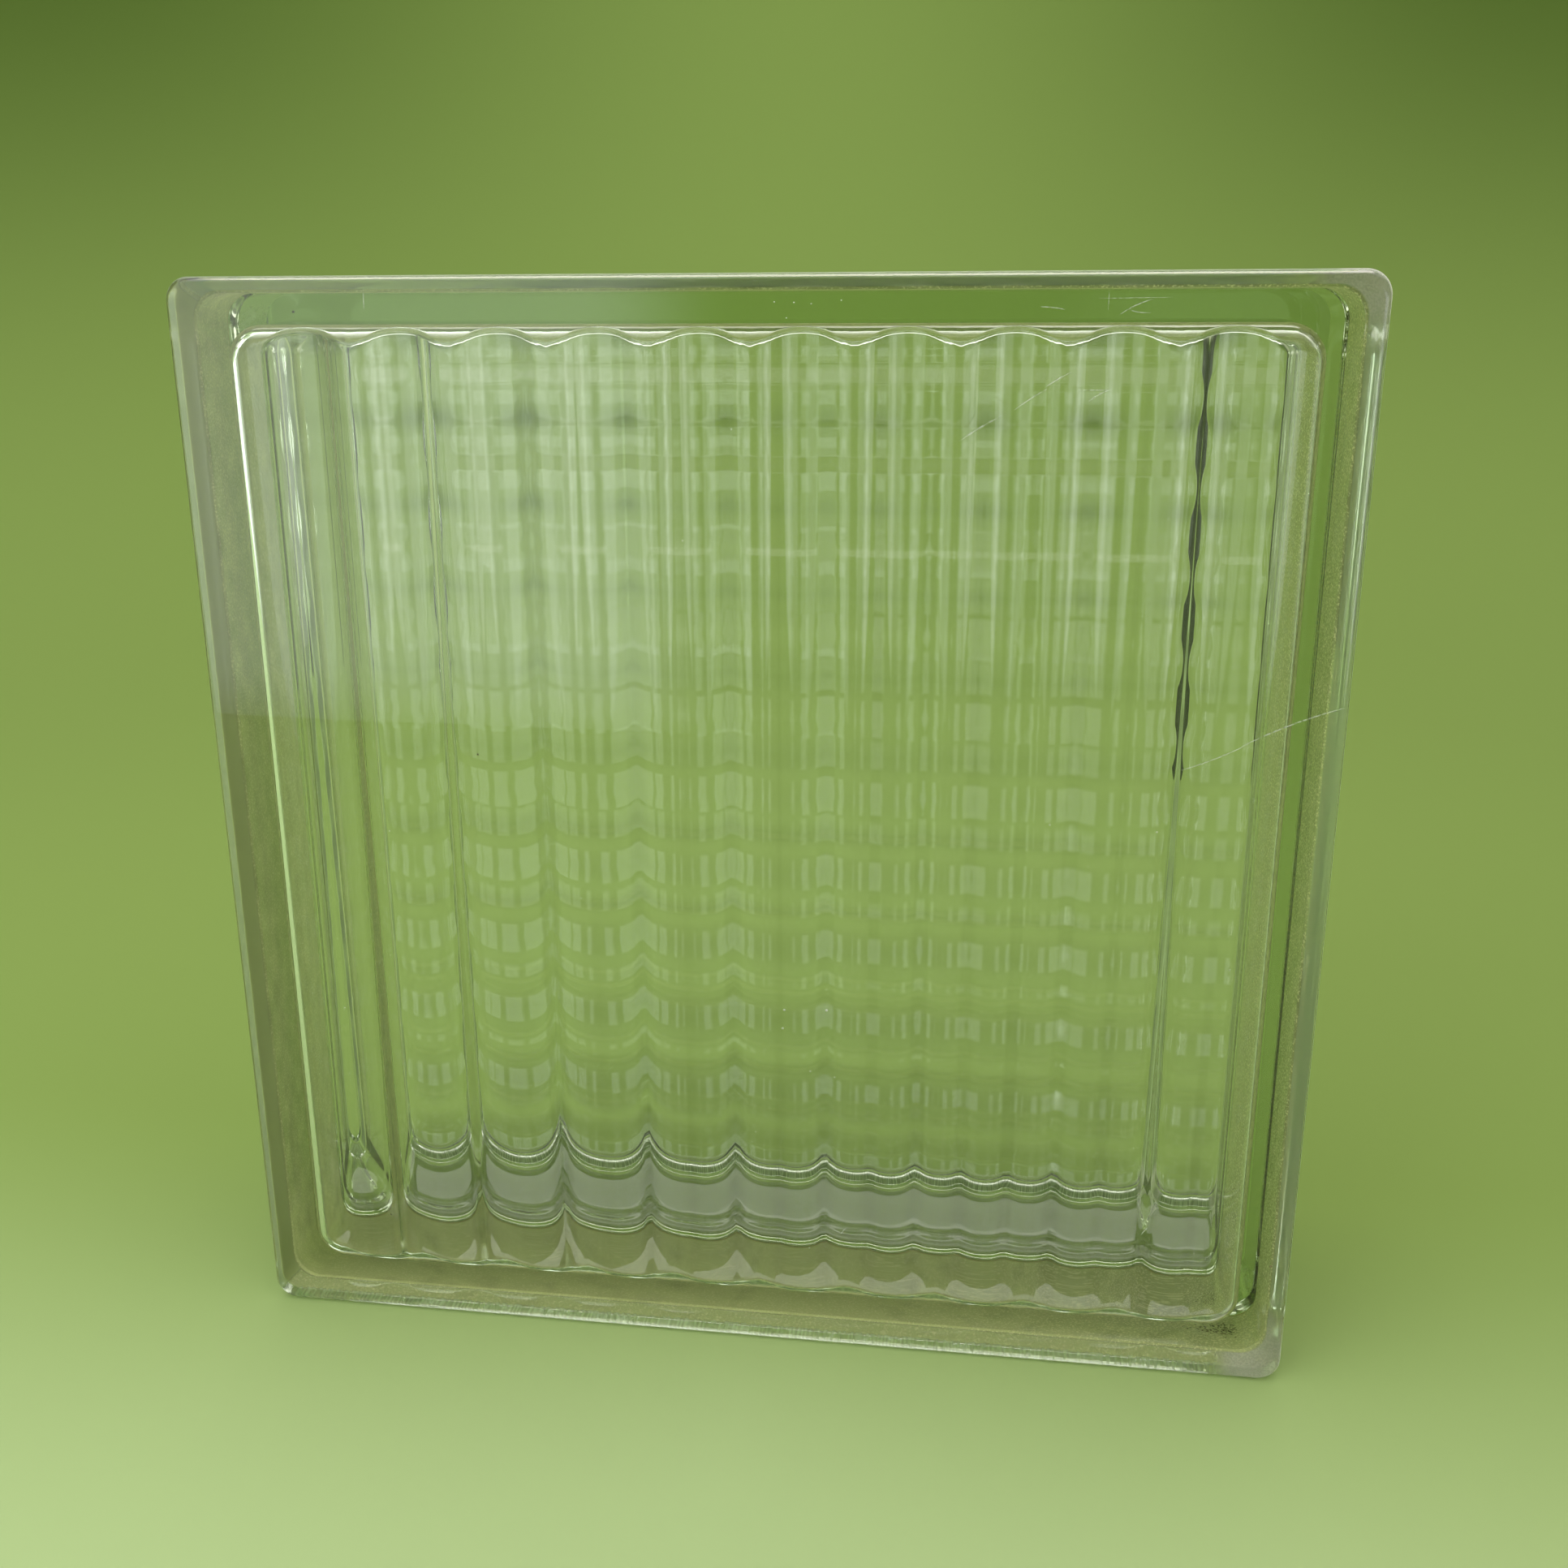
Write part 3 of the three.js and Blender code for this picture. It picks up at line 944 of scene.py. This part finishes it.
# %% Seeds
RANDOM_SEED = 194
random = np.random.default_rng(RANDOM_SEED)
LARGE_SEEDS = [(5.6, 69.0), (5.3, 65.4), (13.2, 69.4)]  # (x, z), in millimetres
SMALL_SEEDS = [
    (10.3, 57.2), (14.7, 56.3), (4.4, 189.6), (7.5, 189.5), (10.2, 189.3), (6.3, 187.2), (14.9, 189.8),
]
LARGE_SEED, SMALL_SEED, SMALLEST_SEED = 0.22, 0.12, 0.06  # radii, in millimetres
SCATTERED_SEEDS = 24
SCATTERED_X, SCATTERED_Z = (-85, 92), (12, 182)
SEED_SHAPE = [1, 1, 0.8]
SEED_DEPTH = 0.3 * MM
# the seeds' pale colour is a painted highlight, in place of the light that a bubble in glass reflects
SEED_HIGHLIGHT_COLOURS = (0.75, 0.80, 0.70, 1), (1.0, 1.0, 0.97, 1)

scattered_x = random.uniform(*SCATTERED_X, SCATTERED_SEEDS)
scattered_z = random.uniform(*SCATTERED_Z, SCATTERED_SEEDS)
scattered_sizes = random.uniform(SMALLEST_SEED, SMALL_SEED, SCATTERED_SEEDS)
chosen_sizes = [LARGE_SEED] * len(LARGE_SEEDS) + [SMALL_SEED] * len(SMALL_SEEDS)
seed_sizes = np.concatenate([chosen_sizes, scattered_sizes]) * MM
seed_places = on_face([*LARGE_SEEDS, *SMALL_SEEDS, *zip(scattered_x, scattered_z)], SEED_DEPTH)
seeds = new_object("glass_seeds", *pebbles(seed_places, seed_sizes[:, None] * SEED_SHAPE))
# painted highlight: the seeds are pale matt bodies, not clear bubbles
seeds.data.materials.append(speck_finish("seed_painted_highlight", *SEED_HIGHLIGHT_COLOURS))
print(f"There are {len(seed_places)} seeds.")

# %% Specks and grit
SPECKS = [  # (x, z) on the front face and half-sizes, in millimetres
    ((-74.7, 188.4), (0.25, 0.1, 0.2)),
    ((93.5, 24.2), (0.25, 0.1, 0.25)),
    ((-71.5, 21.0), (0.2, 0.1, 0.15)),
    ((-48.2, 114.5), (0.2, 0.1, 0.2)),
]
SPECK_DEPTH = 0.1 * MM
GRIT_PATCH = (90.0, -11.5)  # its middle, as (x, y) on the underside's channel
GRIT_SPREAD = (3.8, 1.5)
GRIT_X, GRIT_Y = (60, 91), (-20, -5)  # no grain lies outside these
GRIT_Z = 2.65  # just inside the glass over the underside's channel
GRIT_COUNT = 220
GRIT_SHAPE = [0.25, 0.12, 0.06]  # half-sizes of the largest grain
DIRT_COLOURS = (0.03, 0.03, 0.01, 1), (0.16, 0.13, 0.05, 1)

grit_x = random.normal(GRIT_PATCH[0], GRIT_SPREAD[0], GRIT_COUNT).clip(*GRIT_X)
grit_y = random.normal(GRIT_PATCH[1], GRIT_SPREAD[1], GRIT_COUNT).clip(*GRIT_Y)
grit_places = np.column_stack([grit_x, grit_y, np.full(GRIT_COUNT, GRIT_Z)]) * MM
grit_sizes = random.uniform(0.5, 1.0, (GRIT_COUNT, 1)) * GRIT_SHAPE * MM
speck_places, speck_sizes = zip(*SPECKS)
dirt_places = np.vstack([on_face(speck_places, SPECK_DEPTH), grit_places])
dirt_sizes = np.vstack([np.array(speck_sizes) * MM, grit_sizes])
dirt = new_object("dirt_specks", *pebbles(dirt_places, dirt_sizes))
dirt.data.materials.append(speck_finish("dark_dirt", *DIRT_COLOURS))
for marks in (seeds, dirt):
    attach(marks, "root")
print(f"There are {len(SPECKS)} specks and {GRIT_COUNT} grains of grit.")

# %% [markdown]
# ## The stage
#
# The block stands in a round bowl of plain green cloth: a flat floor that bends up into a wall on
# every side, so that whatever the glass bends into view is the same plain ground. A flat backdrop
# would do for a solid thing, but glass also shows what is beside and behind the camera.
#
# The cloth's colour stands in for the room's light, as painted light and shade. It is paler in
# front, as painted light where a real cloth catches the windows, deeper behind the block, as
# painted shadow of the block and of light that falls off, and darker still towards the upper corners
# of the wall behind it, as painted shade. Glass against one even tone looks like a drawing of itself.

# %% The bowl
BOWL_FLOOR = 0.45  # radius of the part that is truly flat
BOWL_SWEEP = 1.15  # length of cloth that bends from level to upright
BOWL_WALL = 0.25  # length of cloth that stands upright above it
BOWL_INNER_RINGS = [[0.05, 0], [0.2, 0]]  # (radius, height) of two rings that divide the floor
BEND_LEVELS = 41
BOWL_SIDES = 96
FLOOR_DROP = 0.2 * MM  # keeps the floor from lying in the same plane as the lips


def bowl():
    """A surface of revolution. Its profile is level, then its slope grows smoothly with the length
    of cloth laid out, from nothing to upright, so that the bend shows no edge."""
    laid = np.linspace(0, 1, BEND_LEVELS)
    slope = QUARTER_TURN * (3 * laid**2 - 2 * laid**3)
    step = BOWL_SWEEP * np.diff(laid)
    middle = (slope[1:] + slope[:-1]) / 2
    out = BOWL_FLOOR + np.concatenate([[0], np.cumsum(step * np.cos(middle))])
    up = np.concatenate([[0], np.cumsum(step * np.sin(middle))])
    wall_top = [[out[-1], up[-1] + BOWL_WALL]]
    profile = np.vstack([BOWL_INNER_RINGS, np.column_stack([out, up]), wall_top])
    angle = np.linspace(0, 2 * HALF_TURN, BOWL_SIDES, endpoint=False)
    x = profile[:, :1] * np.cos(angle)
    y = profile[:, :1] * np.sin(angle)
    z = np.broadcast_to(profile[:, 1:] - FLOOR_DROP, x.shape)
    points = np.stack([x, y, z], axis=2).reshape(-1, 3)
    quads = ring_quads(*x.shape)[:, ::-1].tolist()
    print(f"The bowl is {2 * out[-1]:.2f} m wide and {profile[-1, 1]:.2f} m high.")
    return points, [*quads, list(range(len(angle)))]


stage = new_object("stage_cloth", *bowl())

# %% Its cloth
# the cloth's colours are painted light and shade: lit in front, shadow behind the block, deep shade up in
# the wall's corners
CLOTH_PAINTED_LIGHT = (0.385, 0.49, 0.23, 1)
CLOTH_PAINTED_SHADOW = (0.21, 0.295, 0.078, 1)
CLOTH_PAINTED_DEEP_SHADE = (0.066, 0.11, 0.02, 1)
CLOTH_MIDDLE = -0.13  # the x where the wall behind the block is brightest
SHADE_ASIDE = (0.0, 0.6)  # distances from that x between which the shade grows
SHADE_HEIGHT = (0.0, 0.55)
SHADE_BEHIND = (0.2, 0.6)
FRONT_TO_BACK = (-0.34, 0.12)  # bearings between which the painted light in front turns into the painted shadow behind
NEAR_MIDDLE = 0.25  # keeps the bearing finite where x is 0


def cloth_painted_light_and_shade():
    """Painted light in front and painted shadow behind, told by the bearing y / (|x| + a little),
    and painted shade where it is far aside, high up and behind all at once."""
    m = Material("cloth_painted_light_and_shade")
    x, y, z = m.node("ShaderNodeTexCoord", output="Object").parts()
    # painted shade far aside, high up and behind; painted light in front and painted shadow behind, by the
    # bearing
    aside = abs(x - CLOTH_MIDDLE).above(*SHADE_ASIDE)
    shade = aside * z.above(*SHADE_HEIGHT) * y.above(*SHADE_BEHIND)
    behind = mix_colour(m, shade, CLOTH_PAINTED_SHADOW, CLOTH_PAINTED_DEEP_SHADE)
    bearing = y / (abs(x) + NEAR_MIDDLE)
    return m.finish(matt(m, mix_colour(m, bearing.above(*FRONT_TO_BACK), CLOTH_PAINTED_LIGHT, behind)))


stage.data.materials.append(cloth_painted_light_and_shade())
print(f"The stage is {stage.name}, of {stage.active_material.name}.")

# %% [markdown]
# ## Light
#
# Glass has no colour of its own to show, so it shows the lamps and the room. The room's own even
# light fills the cloth. Two windows at the sides, in front of the block, give the cool vertical
# stripes, and two dark cards give the black lines that make the edges of glass readable.
#
# Two more lamps do one job each. A middle window shows only inside the glass, as the pale veil over
# its depth, and a glint above shows only in outer reflections, along the upper rim. A lamp that did
# both would fill the front face with its own mirror image.

# %% Lamps that fade towards their edges
def fade(data, feather):
    """Dims a lamp towards its edges: its own u and v, from 0 to 1 across it, are measured from the
    nearer edge, each gives a smooth step over the feather, and the two are multiplied."""
    data.use_nodes = True
    m = Material.wrap(data.node_tree)
    u, v, _ = m.node("ShaderNodeNewGeometry", output="Parametric").parts()
    edge = [(0.5 - abs(part - 0.5)).above(0.0, feather) for part in (u, v)]
    emission = next(n for n in m.tree.nodes if n.type == "EMISSION")
    m.tree.links.new((edge[0] * edge[1]).output, emission.inputs["Strength"])


def soft_box(name, place, target, size, radiance, color, feather, through=True, mirrored=True):
    """A rectangular lamp at place that faces target. Its power comes from how bright it looks: an
    even lamp of area A and radiance L gives out pi * A * L. feather is the share of each side over
    which it fades to its edge. A lamp that doesn't go through only shows in outer reflections, and
    one that isn't mirrored only shows inside the glass."""
    data = bpy.data.lights.new(name, "AREA")
    data.shape = "RECTANGLE"
    data.size, data.size_y = size
    data.energy = math.pi * size[0] * size[1] * radiance
    data.color = color
    fade(data, feather)
    lamp = bpy.data.objects.new(name, data)
    lamp.location = place
    lamp.rotation_euler = (Vector(target) - Vector(place)).to_track_quat("-Z", "Y").to_euler()
    lamp.visible_camera = False
    lamp.visible_diffuse = through and mirrored
    lamp.visible_glossy = mirrored
    lamp.visible_transmission = through
    bpy.context.scene.collection.objects.link(lamp)


# %% The lamps
WINDOW_Y = -0.47
COOL, COOLER, WARM = (0.90, 0.90, 1.0), (0.88, 0.92, 1.0), (1.0, 0.90, 0.88)
MIDDLE_COOL = (0.88, 0.90, 1.0)
soft_box("window_left", (-0.65, WINDOW_Y, 0.42), (-0.65, 0, 0.42), (1.14, 0.88), 1.85, COOLER, 0.06)
soft_box("window_right", (0.70, WINDOW_Y, 0.14), (0.70, 0, 0.14), (0.90, 0.30), 2.6, COOL, 0.12)
soft_box("glint", (0, -0.25, 1.0), (0, 0, 0.2), (1.2, 0.6), 10, WARM, 0.1, through=False)
soft_box(
    "window_middle", (0.3, -0.50, 0.30), (0.3, 0, 0.30), (0.5, 0.6), 1.7, MIDDLE_COOL, 0.15, mirrored=False,
)
lamps = [made.name for made in bpy.data.objects if made.type == "LIGHT"]
print("The lamps are", ", ".join(lamps))

# %% Dark cards
CARD_HEIGHT = 0.6
FELT_BLACK = (0.01, 0.01, 0.01, 1)
CARD_ENDS = {  # (x, y) of both ends of each card
    "right": ((0.35, 0.30), (0.44, 0.05)),
    "left": ((-0.55, 0.35), (-0.60, -0.10)),
}


def dark_felt():
    """Black felt, which gives back almost nothing."""
    m = Material("dark_felt")
    return m.finish(matt(m, FELT_BLACK))


felt = dark_felt()
for side, (near, far) in CARD_ENDS.items():
    corners = np.array([[*near, 0], [*far, 0], [*far, CARD_HEIGHT], [*near, CARD_HEIGHT]])
    card = new_object(f"stage_card_{side}", corners, [[0, 1, 2, 3]])
    card.data.materials.append(felt)
    card.visible_camera = False
    card.visible_shadow = False
    card.visible_diffuse = False
print(f"{len(CARD_ENDS)} dark cards stand beside the block.")

# %% The room
ROOM_LIGHT = (1.75, 1.71, 1.68, 1)
scene = bpy.context.scene
scene.world = bpy.data.worlds.new("room")
scene.world.use_nodes = True
scene.world.node_tree.nodes["Background"].inputs["Color"].default_value = ROOM_LIGHT
print("The room's light is", ROOM_LIGHT[:3])

# %% [markdown]
# ## Camera and render
#
# The camera stands near the block, a little to its right and about level with its top, so that the
# back half is seen smaller through the front one. A long lens from far away would lay one half
# over the other, and the block would look flat.
#
# A ray that crosses a hollow block meets the surface of glass at least four times, and many more
# where it is trapped in an edge. With few bounces the edges go black, so twelve are allowed. Light
# that has left matt cloth twice hardly changes any more, and two are enough there.

# %% The camera
CAMERA_PLACE = (40.59, -279.65, 187.57)  # millimetres
CAMERA_TURN = (73.141, 0.182, 7.897)  # degrees
camera_data = bpy.data.cameras.new("camera")
camera_data.sensor_width = 36
camera_data.lens = 35.5
camera = bpy.data.objects.new("camera", camera_data)
camera.location = Vector(CAMERA_PLACE) * MM
camera.rotation_euler = Euler([math.radians(angle) for angle in CAMERA_TURN])
scene.collection.objects.link(camera)
scene.camera = camera
print(f"The lens has a field of {math.degrees(camera_data.angle):.1f} degrees.")

# %% The render
scene.view_settings.view_transform = "Standard"
scene.cycles.max_bounces = 12
scene.cycles.transmission_bounces = 12
scene.cycles.glossy_bounces = 5
scene.cycles.diffuse_bounces = 2
print(f"A ray may bounce {scene.cycles.max_bounces} times.")
